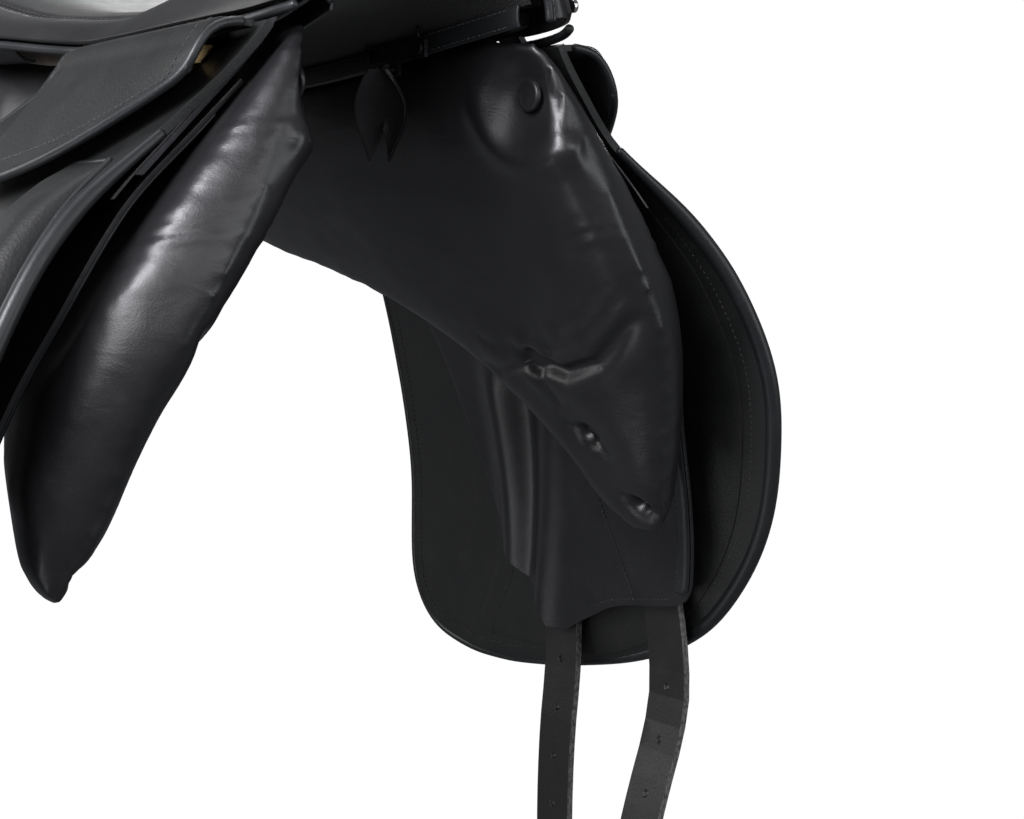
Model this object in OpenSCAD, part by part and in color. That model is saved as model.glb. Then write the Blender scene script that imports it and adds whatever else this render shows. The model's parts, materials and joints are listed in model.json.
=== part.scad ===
// English dressage saddle. Millimetres, +Z up, the pommel faces -Y, so +X is the rider's left.
// It is mirrored about X = 0, apart from the clip in the channel. The origin is in the middle of the channel,
// at the level of the horse's back.

/* [Seat] */
// Leather thickness of the seat cover
cover_t = 2.5; // [2:0.5:4]
// Thickness of the seat foam in the middle
foam_t = 10; // [8:1:18]
// Radius of the piping round the seat
welt_r = 2.2; // [1.5:0.1:3]

/* [Flaps] */
// Thickness of the flaps
flap_t = 4.5; // [3:0.5:5]
// Thickness of the sweat flaps
sweat_t = 2.5; // [2:0.5:3]
// Thickness of the skirts
skirt_t = 3.5; // [2.5:0.5:4]
// Radius of the roll along the front edge of a flap
roll_r = 4; // [3:0.5:5]
// How far the front edge of a flap turns outwards
flare = 15; // [8:1:20]
// Height of the thigh block on the outer face of a flap
block_h = 20; // [12:1:26]

/* [Billets] */
// Width of a billet strap
billet_w = 30; // [25:1:32]
// Thickness of a billet strap
billet_t = 4; // [3:0.5:4.5]
// Distance between the holes of a billet
hole_pitch = 29; // [25:1:30]
// Radius of the holes of a billet
hole_r = 2; // [1.5:0.25:2.5]
// Number of holes in a billet
hole_count = 9; // [6:1:10]

/* [Stirrup bars] */
// Radius of the rail that the stirrup leather hangs on
bar_r = 3.5; // [3:0.25:4]
// Length of the free rail
bar_len = 62; // [50:1:66]

/* [Hidden] */

// ---- Smooth curves through the rows of a table; column 0 is the parameter ----
function row_at(tab, t, i = 0) = i >= len(tab) - 2 || t < tab[i + 1][0] ? i : row_at(tab, t, i + 1);
function slope(tab, i, c) =
  let (a = max(i - 1, 0), b = min(i + 1, len(tab) - 1))
  (tab[b][c] - tab[a][c]) / (tab[b][0] - tab[a][0]);
function curve(tab, t, c = 1) =
  let (i = row_at(tab, t), h = tab[i + 1][0] - tab[i][0], u = min(max((t - tab[i][0]) / h, 0), 1))
  (2 * u ^ 3 - 3 * u ^ 2 + 1) * tab[i][c] + (u ^ 3 - 2 * u ^ 2 + u) * h * slope(tab, i, c)
  + (3 * u ^ 2 - 2 * u ^ 3) * tab[i + 1][c] + (u ^ 3 - u ^ 2) * h * slope(tab, i + 1, c);
function step01(u) = let (v = min(max(u, 0), 1)) v * v * (3 - 2 * v);

// ---- Closed solids from rings or grids of points ----
// Every ring is a closed loop. The first and the last are capped, by one face each if they are flat,
// or else by a ladder of faces between their two halves.
module loft(rings, flat = true) {
  n = len(rings);
  m = len(rings[0]);
  points = [for (ring = rings) each ring];
  sides = [for (i = [0 : n - 2], j = [0 : m - 1])
    let (a = i * m + j, b = i * m + (j + 1) % m) each [[a, b, b + m], [a, b + m, a + m]]];
  ladder = [for (j = [0 : m / 2 - 2]) each [[j + 1, j, m - 1 - j], [j + 1, m - 1 - j, m - 2 - j]]];
  start = flat ? [[for (j = [m - 1 : -1 : 0]) j]] : ladder;
  end = [for (face = start) [for (k = [len(face) - 1 : -1 : 0]) (n - 1) * m + face[k]]];
  polyhedron(points, concat(sides, start, end), convexity = 6);
}
// A sheet between two grids of points of one size; each row becomes one ring.
module sheet(top, bottom) {
  m = len(bottom[0]);
  loft([for (i = [0 : len(top) - 1]) concat(top[i], [for (j = [m - 1 : -1 : 0]) bottom[i][j]])], false);
}
// A tube of radius r along a path, with its rings across the path
module tube(path, r, sides = 8) {
  n = len(path);
  loft([for (i = [0 : n - 1])
    let (d = path[min(i + 1, n - 1)] - path[max(i - 1, 0)], t = d / norm(d),
         side = cross(t, abs(t[2]) < 0.9 ? [0, 0, 1] : [0, 1, 0]), a = side / norm(side), b = cross(a, t))
    [for (j = [0 : sides - 1]) path[i] + r * (cos(360 * j / sides) * a + sin(360 * j / sides) * b)]]);
}

// ---- The side of the saddle: half its width at a depth below the origin ----
side_tab = [[-20, 69.5], [-4, 80], [31, 114], [67, 148], [120, 180], [172, 200], [244, 218], [340, 231],
  [420, 236]];
function side_x(z) = curve(side_tab, -z);

// Layers, measured outwards from the middle of the flap
sweat_off = -14;
strap_off = -8;

// The line that a flap and its skirt turn about
hinge_x = 80;
hinge_z = 14;

// ---- Flap outline: depth, front edge, rear edge ----
flap_rows = [[-14, -209, -16], [10, -203, 6], [31, -197, 33], [50, -198, 56], [70, -201, 76], [98, -207, 96],
  [142, -210, 113], [174, -204, 120], [228, -184, 131], [267, -158, 142], [296, -125, 147], [318, -72, 140],
  [333, -5, 120], [340, 46, 84]];
flare_tab = [[-14, 0], [30, 0], [70, 0.75], [98, 1], [185, 1], [230, 0.9], [298, 0.4], [340, 0.2]];
flare_reach = 62;
function flap_front(z) = curve(flap_rows, -z, 1);
function flap_rear(z) = curve(flap_rows, -z, 2);
function turn_out(y, z) =
  let (q = min(max((y - flap_front(z)) / flare_reach, 0), 1))
  flare * curve(flare_tab, -z) * (1 - q) ^ 2;
function flap_x(y, z) = side_x(z) + turn_out(y, z);

flap_depths = [-11, 4, 20, 40, 62, 90, 120, 150, 185, 224, 258, 285, 306, 323, 334, 340];
// The top edge is cut down between two places along the saddle, so that the stirrup leather can pass
notch_y = [-182, -62];
notch_depth = 20;
notch_step = 5;
notch_edge = 0.004;
module flap() {
  // A place along the saddle as a share of the width, at a depth where the notch is, or just below it
  function share(y, d) = let (f = flap_front(-min(d, 40)), r = flap_rear(-min(d, 40))) (y - f) / (r - f);
  function face(off) = [for (i = [0 : len(flap_depths) - 1])
    let (d = flap_depths[i], a = share(notch_y[0], d), b = share(notch_y[1], d),
         low = max(d, notch_depth + notch_step * i),
         start = share(notch_y[0], low) + notch_edge, end = share(notch_y[1], low) - notch_edge,
         cut = [for (v = [start, 0.13, 0.2, 0.32, 0.5, end]) [v, low]],
         front = [for (v = [0, a / 2, a]) [v, d]],
         rear = [for (v = [b, (b + 1) / 2, 1]) [v, d]])
    [for (p = concat(front, cut, rear))
      let (z = -p[1], y = flap_front(z) + p[0] * (flap_rear(z) - flap_front(z))) [flap_x(y, z) + off, y, z]]];
  sheet(face(flap_t / 2), face(-flap_t / 2));
}

// The rolled and bound front edge of a flap
module flap_roll() {
  depths = concat([14], [for (d = [34 : 16 : 274]) d], [290, 306]);
  tube([for (d = depths) [flap_x(flap_front(-d), -d), flap_front(-d) - 2, -d]], roll_r);
}

// ---- Thigh block: a long crowned pad on the outer face of the flap ----
block_rows = [[46, 0.1], [54, 0.55], [72, 0.9], [104, 1], [156, 1], [192, 0.85], [212, 0.5], [224, 0.1]];
block_w = 46;
block_inset = 16;
module thigh_block() {
  base = flap_t / 2 + 1.8;
  function place(d, v, h) =
    let (y = flap_front(-d) + block_inset + v * block_w) [flap_x(y, -d) + base + h, y, -d];
  function crown(v) = block_h * sqrt(max(0, 1 - (2 * v - 1) ^ 4));
  cols = [for (v = [0 : 0.125 : 1]) v];
  top = [for (row = block_rows) [for (v = cols) place(row[0], v, 1 + row[1] * crown(v))]];
  bottom = [for (row = block_rows) [for (v = cols) place(row[0], v, 0)]];
  sheet(top, bottom);
}

// ---- Keeper: a strap across the flap for the end of the stirrup leather ----
keeper_at = [-20, -214];
keeper_size = [74, 24];
keeper_lift = 9;
keeper_t = 2.5;
module keeper() {
  function place(u, w, h) =
    let (y = keeper_at[0] + (u - 0.5) * keeper_size[0], z = keeper_at[1] + (w - 0.5) * keeper_size[1],
         rise = keeper_lift * step01((0.5 - abs(u - 0.5)) / 0.16))
    [flap_x(y, z) + flap_t / 2 + 0.2 + rise + h, y, z];
  us = [0, 0.06, 0.12, 0.18, 0.34, 0.5, 0.66, 0.82, 0.88, 0.94, 1];
  sheet([for (w = [1, 0.5, 0]) [for (u = us) place(u, w, keeper_t)]],
    [for (w = [1, 0.5, 0]) [for (u = us) place(u, w, 0)]]);
}

// ---- Skirt: it leaves the hinge line outwards, over the stirrup bar, and then hangs ----
// Columns: place along the saddle, lower edge, and how much of the full stand-off it has
skirt_rows = [[-204, -10, 1], [-194, -17, 1], [-170, -30, 1], [-138, -43, 1], [-100, -51, 1],
  [-65, -53, 0.95], [-52, -45, 0.8], [-44, -31, 0.7], [-37, -20, 0.65]];
skirt_bend = [[0, 0, -3.5], [0.12, 9, -3], [0.25, 18, -4.5], [0.4, 25, -14]];
skirt_gap = 17;
function skirt_at(y, v) =
  let (low = curve(skirt_rows, y, 1), k = curve(skirt_rows, y, 2), last = skirt_bend[3],
       u = max(v - 0.4, 0) / 0.6,
       bend = [hinge_x + k * curve(skirt_bend, min(v, 0.4), 1), hinge_z + curve(skirt_bend, min(v, 0.4), 2)])
  bend + u * ([side_x(low) + k * skirt_gap, low] - [hinge_x + k * last[1], hinge_z + last[2]]);
module skirt() {
  function place(y, v, off) =
    let (p = skirt_at(y, v), d = skirt_at(y, min(v + 0.05, 1)) - skirt_at(y, max(v - 0.05, 0)),
         q = p + off * [-d[1], d[0]] / norm(d))
    [q[0], y, q[1]];
  cols = [0, 0.1, 0.2, 0.3, 0.4, 0.6, 0.8, 1];
  sheet([for (row = skirt_rows) [for (v = cols) place(row[0], v, skirt_t / 2)]],
    [for (row = skirt_rows) [for (v = cols) place(row[0], v, -skirt_t / 2)]]);
}

// ---- Sweat flap: depth, front edge, rear edge ----
sweat_rows = [[12, -195, 5], [30, -194, 22], [58, -191, 42], [105, -189, 47], [142, -177, 41], [174, -167, 33],
  [220, -160, 25], [252, -154, 16], [268, -148, 9], [275, -136, 0], [282, -90, -8], [294, -58, -15],
  [306, -34, -20]];
function sweat_front(z) = curve(sweat_rows, -z, 1);
function sweat_rear(z) = curve(sweat_rows, -z, 2);
module sweat_flap() {
  function face(off) = [for (row = sweat_rows)
    [for (k = [1, 2]) [side_x(-row[0]) + sweat_off + off, row[k], -row[0]]]];
  sheet(face(sweat_t / 2), face(-sweat_t / 2));
}
// The raised bound strip along the front edge of a sweat flap
binding_w = 9;
binding_t = 2;
module sweat_binding() {
  depths = [30, 58, 105, 142, 174, 220, 252, 263];
  function place(d, v, off) =
    [side_x(-d) + sweat_off - sweat_t / 2 - 0.6 - off, sweat_front(-d) + 0.5 + v * binding_w, -d];
  sheet([for (d = depths) [for (v = [0, 1]) place(d, v, 0)]],
    [for (d = depths) [for (v = [0, 1]) place(d, v, binding_t)]]);
}

// ---- Panel: sections across the saddle, each a loop of six points ----
// Columns: y, then x and z of the channel top, channel corner, middle of the horse's side, lower edge,
// middle of the outer side, and outer top.
panel_rows = [
  [-228, 88, -58, 91, -70, 103, -88, 118, -110, 105, -84, 90, -56],
  [-222, 67, -24, 70, -50, 96, -92, 128, -128, 120, -88, 78, -22],
  [-212, 59, 4, 61, -38, 101, -106, 139, -154, 140, -96, 72, 0],
  [-196, 55, 8, 59, -38, 110, -125, 152, -196, 154, -112, 63, 6],
  [-180, 53, 8, 57, -36, 119, -146, 161, -228, 166, -140, 61, 7],
  [-160, 50, 8, 54, -34, 117, -140, 160, -227, 165, -138, 61, 7],
  [-140, 47, 8, 51, -33, 111, -128, 154, -212, 160, -128, 61, 7],
  [-119, 45, 7, 49, -32, 103, -115, 147, -189, 150, -108, 61, 7],
  [-83, 43, 6, 46, -32, 90, -96, 133, -154, 134, -82, 62, 6],
  [-40, 42, 5, 45, -33, 79, -82, 119, -126, 118, -66, 64, 4],
  [-12, 42, 5, 45, -34, 76, -76, 110, -112, 106, -56, 67, 4],
  [49, 42, 7, 45, -32, 72, -68, 103, -94, 99, -48, 84, 8],
  [124, 42, 20, 46, -20, 68, -54, 97, -74, 128, -34, 120, 28],
  [190, 43, 42, 47, 6, 66, -20, 94, -36, 124, 0, 120, 48],
  [230, 45, 60, 49, 34, 62, 14, 84, 8, 106, 30, 104, 62],
  [246, 54, 68, 56, 58, 63, 46, 76, 44, 88, 56, 86, 70]];
panel_ys = [-228, -225, -222, -217, -212, -204, -196, -180, -160, -140, -119, -100, -83, -60, -40, -12,
  20, 49, 86, 124, 158, 190, 212, 230, 240, 246];
function panel_loop(y) =
  [for (k = [0 : 5]) [curve(panel_rows, y, 2 * k + 1), curve(panel_rows, y, 2 * k + 2)]];
// A closed smooth loop through six points, with n steps between two of them
function round_loop(p, n) = [for (k = [0 : 5], s = [0 : n - 1])
  let (u = s / n, a = p[(k + 5) % 6], b = p[k], c = p[(k + 1) % 6], d = p[(k + 2) % 6])
  0.5 * (2 * b + (c - a) * u + (2 * a - 5 * b + 4 * c - d) * u ^ 2 + (3 * b - a - 3 * c + d) * u ^ 3)];
function middle(loop) = [for (k = [0, 1]) [for (p = loop) p[k]] * [for (p = loop) 1] / len(loop)];
function panel_ring(y, n, k) =
  let (loop = round_loop(panel_loop(y), n), c = middle(loop))
  [for (p = loop) let (q = c + k * (p - c)) [q[0], y, q[1]]];
core_ys = [-206, -190, -160, -119, -70, -12, 49, 124, 180, 222];
core_k = 0.7;
module panel() {
  difference() {
    loft([for (y = panel_ys) panel_ring(y, 3, 1)]);
    loft([for (y = core_ys) panel_ring(y, 2, core_k + 0.03)]);
  }
}
module flocking() {
  loft([for (y = core_ys) panel_ring(y, 2, core_k)]);
}

// The buttons that pull the front of the panels in
button_at = [53.2, -203, -12];
module panel_buttons() {
  for (side = ["r", "l"]) placed(side) translate(button_at) rotate([0, -90, 0])
    cylinder(r1 = 7, r2 = 5, h = 3, $fn = 32);
}

// ---- Channel strip: the leather strip along the top of the channel ----
strip_rows = [[-212, 50, 22], [-180, 45, 18], [-150, 41, 14.5], [-96, 39.5, 9.5], [-31, 39.5, 6.5],
  [40, 39.5, 8], [110, 39.5, 18], [170, 40, 36], [222, 42, 58]];
strip_h = 10;
strip_t = 2;
module channel_strip() {
  ys = [-212, -180, -150, -96, -31, 40, 110, 170, 222];
  function place(y, h, off) = [curve(strip_rows, y, 1) - off, y, curve(strip_rows, y, 2) + h * strip_h / 2];
  sheet([for (y = ys) [place(y, -1, 0), place(y, 1, 0)]],
    [for (y = ys) [place(y, -1, strip_t), place(y, 1, strip_t)]]);
}

// ---- Seat: place along the saddle, half width, middle height, edge height, squareness ----
seat_rows = [[-226, 66, 96, 24, 2.6], [-214, 73, 101, 21, 2.6], [-190, 76, 97, 19, 2.5],
  [-160, 77, 82, 19, 2.3], [-110, 77, 61, 19, 2.2], [-60, 77, 47, 19, 2.2], [-20, 79, 41, 20, 2.2],
  [20, 99, 41, 25, 2.3], [60, 120, 46, 31, 2.4], [120, 144, 63, 54, 2.6], [170, 149, 86, 86, 2.6],
  [210, 136, 112, 114, 2.6], [236, 110, 128, 131, 2.6], [250, 76, 137, 139, 2.6], [257, 42, 141, 142, 2.6]];
seat_ys = [-226, -214, -196, -170, -135, -100, -60, -20, 20, 60, 100, 140, 175, 205, 228, 243, 252, 257];
seat_us = [-1, -0.9, -0.76, -0.58, -0.34, 0, 0.34, 0.58, 0.76, 0.9, 1];
function seat_w(y) = curve(seat_rows, y, 1);
function seat_z(y, u) =
  let (mid = curve(seat_rows, y, 2), edge = curve(seat_rows, y, 3), p = curve(seat_rows, y, 4))
  mid + (edge - mid) * abs(u) ^ p;
function seat_face(ys, drop, k = 1) =
  [for (y = ys) [for (u = seat_us) [seat_w(y) * u * k, y, seat_z(y, u * k) - drop]]];
module seat_cover() {
  sheet(seat_face(seat_ys, cover_t), seat_face(seat_ys, 0));
}
foam_k = 0.82;
foam_edge = 1;
foam_ys = [-200, -170, -135, -100, -60, -20, 20, 60, 100, 140, 175, 205, 228, 240];
module seat_foam() {
  top = cover_t + 2;
  function bottom(y, u) = seat_z(y, u) - top - foam_edge - (foam_t - foam_edge) * (1 - u ^ 2);
  sheet([for (y = foam_ys) [for (u = seat_us) [seat_w(y) * u * foam_k, y, bottom(y, u * foam_k)]]],
    seat_face(foam_ys, top, foam_k));
}
// The piping runs along the edge of the seat, from the pommel round the cantle
welt_ys = [-220, -190, -150, -100, -50, -10, 30, 70, 110, 145, 175, 200, 220, 236, 248, 255];
function seat_edge(y, out, drop) = [seat_w(y) + out, y, seat_z(y, 1) - drop];
module seat_welt() {
  side = [for (y = welt_ys) seat_edge(y, 0.5, cover_t + welt_r + 0.45)];
  far = [for (i = [len(side) - 1 : -1 : 0]) [-side[i][0], side[i][1], side[i][2]]];
  tube(concat(side, [[0, 258, seat_z(257, 0) - cover_t - welt_r - 0.45]], far), welt_r, 6);
}

// ---- Pommel facing: the leather that closes the front of the pommel ----
pommel_y = -226;
facing_t = 2.5;
arch_top = 62;
arch_foot = [56, 20];
module pommel_facing() {
  outer = [for (u = [-1 : 0.125 : 1]) [(seat_w(pommel_y) - 1) * u, seat_z(pommel_y, u) - cover_t - 0.8]];
  inner = [for (a = [0 : 15 : 180])
    [arch_foot[0] * cos(a), arch_foot[1] + (arch_top - arch_foot[1]) * sin(a)]];
  translate([0, pommel_y + facing_t, 0]) rotate([90, 0, 0]) linear_extrude(facing_t)
    polygon(concat(outer, inner));
}

// ---- Cantle facing: closes the side and the back, from the piping down to the panels ----
facing_rows = [[20, 84, 12], [60, 96, 14], [100, 112, 26], [140, 124, 38], [175, 124, 50], [205, 118, 60],
  [228, 102, 68], [243, 76, 74], [252, 46, 78]];
module cantle_facing() {
  half = [for (row = facing_rows)
    [[seat_w(row[0]) - 3, row[0], seat_z(row[0], 1) - cover_t - 2.4 * welt_r], [row[1], row[0] + 2, row[2]]]];
  path = concat(half, [for (i = [len(half) - 1 : -1 : 0]) [for (p = half[i]) [-p[0], p[1], p[2]]]]);
  last = len(path) - 1;
  function inward(i) =
    let (d = path[min(i + 1, last)][1] - path[max(i - 1, 0)][1])
    facing_t * [-d[1], d[0], 0] / norm([d[0], d[1]]);
  function face(k) = [for (i = [0 : last]) [for (v = [0, 0.5, 1])
    path[i][0] + v * (path[i][1] - path[i][0]) + (k - 0.6 * v * (1 - v)) * inward(i)]];
  sheet(face(1), face(0));
}
module nameplate() {
  translate([0, 256.2, 104]) rotate([90, 0, 0])
    linear_extrude(1.2) square([34, 12], center = true);
}

// ---- Tree ----
rail_rows = [[-190, 62, 24], [-150, 57, 16.5], [-110, 55, 12.5], [-60, 57, 11], [-20, 59.5, 11], [20, 69, 14],
  [60, 88, 20], [110, 104, 36], [150, 109, 52], [190, 102, 72], [215, 84, 84]];
rail_w = 17;
rail_t = 6;
module rail_band(rows, w, t, lift) {
  function corner(row, a, b) = [row[1] + a * w / 2, row[0], row[2] + lift + b * t / 2];
  loft([for (row = rows) [corner(row, -1, -1), corner(row, -1, 1), corner(row, 1, 1), corner(row, 1, -1)]]);
}
module tree_rail() {
  rail_band(rail_rows, rail_w, rail_t, 0);
}
spring_w = 11;
spring_t = 1.2;
module spring_bar() {
  rail_band([for (row = rail_rows) if (row[0] > -160 && row[0] < 200) row], spring_w, spring_t,
    (rail_t + spring_t) / 2 + 0.2);
}

plate_y = -207;
plate_t = 4;
plate_mid = [[-1, 60, 26], [-0.75, 56, 42], [-0.45, 40, 62], [0, 0, 74], [0.45, -40, 62], [0.75, -56, 42],
  [1, -60, 26]];
plate_half = 5.5;
module head_plate() {
  us = [for (k = [-10 : 10]) k / 10];
  function mid(u) = [curve(plate_mid, u, 1), curve(plate_mid, u, 2)];
  function across(u) = let (d = mid(u + 0.02) - mid(u - 0.02)) [-d[1], d[0]] / norm(d);
  line = [for (u = us) mid(max(min(u, 0.98), -0.98)) + plate_half * across(max(min(u, 0.97), -0.97))];
  back = [for (i = [len(us) - 1 : -1 : 0])
    mid(max(min(us[i], 0.98), -0.98)) - plate_half * across(max(min(us[i], 0.97), -0.97))];
  translate([0, plate_y + plate_t, 0]) rotate([90, 0, 0]) linear_extrude(plate_t) polygon(concat(line, back));
}

// A point goes down from the arch, between the flap and the sweat flap
point_y = [-192, -176];
pocket_over = 2;
point_low = -52;
module tree_point() {
  zs = [16, 4, -12, -28, -42, point_low];
  translate([0, point_y[1], 0]) rotate([90, 0, 0]) linear_extrude(point_y[1] - point_y[0])
    polygon(concat([for (z = zs) [side_x(z) + strap_off + 2, z]],
      [for (i = [len(zs) - 1 : -1 : 0]) [side_x(zs[i]) + strap_off - 2, zs[i]]]));
}
module point_pocket() {
  zs = [-24, -34, -44, -54, -62];
  translate([0, point_y[1] + pocket_over, 0]) rotate([90, 0, 0])
    linear_extrude(point_y[1] - point_y[0] + 2 * pocket_over)
    polygon(concat([for (z = zs) [side_x(z) + strap_off + 4.4, z]],
      [for (i = [len(zs) - 1 : -1 : 0]) [side_x(zs[i]) + strap_off + 2.6, zs[i]]]));
}

frame_tilt = 32;
frame_z = 61;
module cantle_frame() {
  outer = [for (a = [0 : 12 : 180]) [92 * cos(a), 66 * sin(a)]];
  inner = [for (a = [180 : -12 : 0]) [66 * cos(a), 44 * sin(a)]];
  translate([0, 168, frame_z]) rotate([frame_tilt, 0, 0]) linear_extrude(5) polygon(concat(outer, inner));
}

web_t = 1.5;
module seat_web() {
  rows = [[-186, 24, 62], [-140, 24, 44], [-90, 24, 29], [-30, 26, 20.5], [30, 26, 20.5], [90, 26, 29],
    [140, 26, 46], [180, 26, 66], [200, 26, 80]];
  function corner(row, side, lift) = [side * row[1], row[0], row[2] + lift];
  loft([for (r = rows) [corner(r, -1, 0), corner(r, -1, web_t), corner(r, 1, web_t), corner(r, 1, 0)]]);
}
// A girth web is nailed on each rail and comes down outside it to a billet
web_w = 34;
front_web = [[46, 21.5], [62, 21.5], [69, 18.5], [72.4, 4], [73.6, -7.2], [88, -12.5]];
rear_web = [[46, 17.3], [63.3, 17.3], [70.3, 14.3], [72.6, 5], [80, -4], [87.5, -12]];
module girth_web(y, start) {
  path = concat(start, [[strap_x(-20), -20], [strap_x(-33), -33]]);
  for (side = ["r", "l"]) placed(side)
    translate([0, y + web_w / 2, 0]) rotate([90, 0, 0]) linear_extrude(web_w)
      polygon(concat(path, [for (i = [len(path) - 1 : -1 : 0]) path[i] + [web_t * 0.7, web_t]]));
}

module tree_rivets() {
  for (s = [-1, 1], y = [-186, -176]) translate([s * 62, y, 20]) cylinder(r = 3, h = 10, $fn = 24);
}
module saddle_nails() {
  for (s = [-1, 1]) translate([s * 70, -221.5, 27]) rotate([0, s * 80, 0]) cylinder(r = 3.2, h = 2, $fn = 24);
}

// ---- Billets: a strap that follows the side and then hangs ----
function strap_x(z) = side_x(z) + strap_off;
billet_top = -36;
billet_end = -572;
billet_hinge = -42;
rear_y = -26;
front_y = -118;
first_hole = -325;
rear_hang = [[-600, 211], [-420, 211], [-370, 213], [-330, 217], [-298, 217.5], [-262, 212.8]];
front_hang = [[-610, 189], [-501, 189], [-450, 191.5], [-410, 198], [-380, 207], [-352, 216.5], [-330, 221],
  [-308, 220.5], [-285, 217.5], [-262, 212.8]];
function billet_x(z, hang) = z > -262 ? strap_x(z) : curve(hang, z);
module billet(y, hang) {
  upper = [for (z = [-56 : -24 : -248]) z];
  lower = [for (z = [-270 : -15 : -420]) z];
  zs = concat([billet_top], upper, lower, [-450, -500, billet_end]);
  rail = [for (z = zs) [billet_x(z, hang) + billet_t / 2, z]];
  back = [for (i = [len(zs) - 1 : -1 : 0]) [billet_x(zs[i], hang) - billet_t / 2, zs[i]]];
  difference() {
    intersection() {
      translate([0, y + billet_w / 2, 0]) rotate([90, 0, 0]) linear_extrude(billet_w)
        polygon(concat(rail, back));
      translate([0, y, 0]) rotate([90, 0, 90]) linear_extrude(400) union() {
        translate([-billet_w / 2, billet_end + billet_w / 2])
          square([billet_w, billet_top - billet_end - billet_w / 2]);
        translate([0, billet_end + billet_w / 2]) circle(r = billet_w / 2, $fn = 48);
      }
    }
    for (k = [0 : hole_count - 1]) translate([100, y, first_hole - k * hole_pitch]) rotate([0, 90, 0])
      cylinder(r = hole_r, h = 200, $fn = 24);
  }
}

// ---- Stirrup bar: a plate on the point, an arm and a round rail that is open at the rear ----
bar_y = -176;
bar_x = 90;
bar_z = 0;
plate_x = 76;
plate_size = [3, 88, 10];
arm_w = 8;
arm_half = bar_r + 0.6;
pin_r = 1.2;
pin_gap = 0.05;
tang_t = 2.4;
// The catch turns about a pin across the end of the rail
catch_y = bar_y + arm_w + bar_len;
catch_r = 3.2;
rail_end = catch_y - catch_r - 1;
module stirrup_bar() {
  // back plate
  translate([plate_x, bar_y, bar_z - plate_size[2] / 2]) cube(plate_size);
  // arm
  translate([plate_x, bar_y, bar_z - arm_half]) cube([bar_x + arm_half - plate_x, arm_w, 2 * arm_half]);
  // rail
  translate([bar_x, bar_y + arm_w - 1, bar_z]) rotate([-90, 0, 0])
    cylinder(r = bar_r, h = rail_end - bar_y - arm_w + 1, $fn = 48);
  // tang with the bore of the catch pin
  difference() {
    union() {
      translate([bar_x - tang_t / 2, rail_end - 1, bar_z - 2.4]) cube([tang_t, catch_y - rail_end + 1, 4.8]);
      translate([bar_x - tang_t / 2, catch_y, bar_z]) rotate([0, 90, 0])
        cylinder(r = 2.4, h = tang_t, $fn = 48);
    }
    translate([bar_x - tang_t, catch_y, bar_z]) rotate([0, 90, 0])
      cylinder(r = pin_r + pin_gap, h = 2 * tang_t, $fn = 48);
  }
}
module bar_catch() {
  slot = tang_t / 2 + 0.3;
  thumb = 8;
  translate([bar_x, catch_y, bar_z]) {
    difference() {
      intersection() {
        translate([0, -catch_r, 0]) rotate([-90, 22.5, 0]) cylinder(r = catch_r, h = catch_r + thumb, $fn = 8);
        union() {
          translate([-catch_r, 0, 0]) rotate([0, 90, 0]) cylinder(r = catch_r, h = 2 * catch_r, $fn = 48);
          translate([-catch_r, 0, -catch_r]) cube([2 * catch_r, thumb, 2 * catch_r]);
        }
      }
      translate([-slot, -catch_r - 1, -catch_r - 1]) cube([2 * slot, catch_r + 5, 2 * catch_r + 2]);
    }
    // pin
    translate([-slot - 0.5, 0, 0]) rotate([0, 90, 0]) cylinder(r = pin_r, h = 2 * slot + 1, $fn = 48);
  }
}
module bar_rivets() {
  for (side = ["r", "l"], dy = [16, 80]) placed(side)
    translate([plate_x + plate_size[0] + 0.1, bar_y + dy, bar_z]) rotate([0, 90, 0])
      cylinder(r = 3, h = 1.5, $fn = 24);
}

// ---- D-rings, each in the loop of a leather chape ----
dee_y = -204;
dee_axis = [69.5, 46];
dee_tilt = 16;
dee_R = 11;
dee_wire = 1.8;
loop_w = 8;
loop_r = 4.2;
loop_bore = 2.8;
module dee_chapes() {
  for (side = ["r", "l"]) placed(side) difference() {
    translate([0, dee_y + loop_w / 2, 0]) rotate([90, 0, 0]) linear_extrude(loop_w) union() {
      polygon([[60.4, 63], [62.4, 64.5], [72.5, 48], [66.8, 46]]);
      translate(dee_axis) circle(r = loop_r, $fn = 48);
    }
    translate([dee_axis[0], dee_y - loop_w, dee_axis[1]]) rotate([-90, 0, 0])
      cylinder(r = loop_bore, h = 2 * loop_w, $fn = 48);
  }
}
module dee_ring() {
  translate([dee_axis[0], dee_y, dee_axis[1]]) rotate([0, -dee_tilt, 0]) translate([0, 0, -dee_R])
    rotate([0, 90, 0]) rotate_extrude($fn = 48) translate([dee_R, 0]) circle(r = dee_wire, $fn = 16);
}

// ---- The clip on the channel strip, its tab and its wire loop ----
clip_x = 35.3;
clip_y = -128;
clip_z = 9;
clip_t = 2;
tab_z = 4;
rivet_dy = 23;
module gullet_clip() {
  translate([clip_x, clip_y - 27, clip_z - 1]) cube([clip_t, 54, 8]);
  translate([clip_x, clip_y - 4, tab_z - 3]) cube([clip_t, 8, 9]);
  translate([clip_x - 6.5, clip_y, tab_z]) rotate([0, 90, 0]) cylinder(r = 1, h = 7, $fn = 24);
  translate([clip_x - 7.5, clip_y, tab_z]) rotate([0, 90, 0]) cylinder(r = 2.2, h = 1, $fn = 24);
}
module gullet_rivets() {
  for (s = [-1, 1]) translate([clip_x - 0.1, clip_y + s * rivet_dy, clip_z + 3]) rotate([0, -90, 0])
    cylinder(r = 3, h = 1.6, $fn = 24);
}
module gullet_tab() {
  translate([clip_x - 4.5, clip_y, tab_z]) rotate([90, 0, 90]) linear_extrude(2)
    difference() {
      polygon([[-4, 3], [4, 3], [8.5, -9], [8, -22], [4, -40], [0, -28], [-4, -38], [-8, -21], [-8.5, -9]]);
      circle(r = 1.3, $fn = 24);
    }
}
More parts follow.
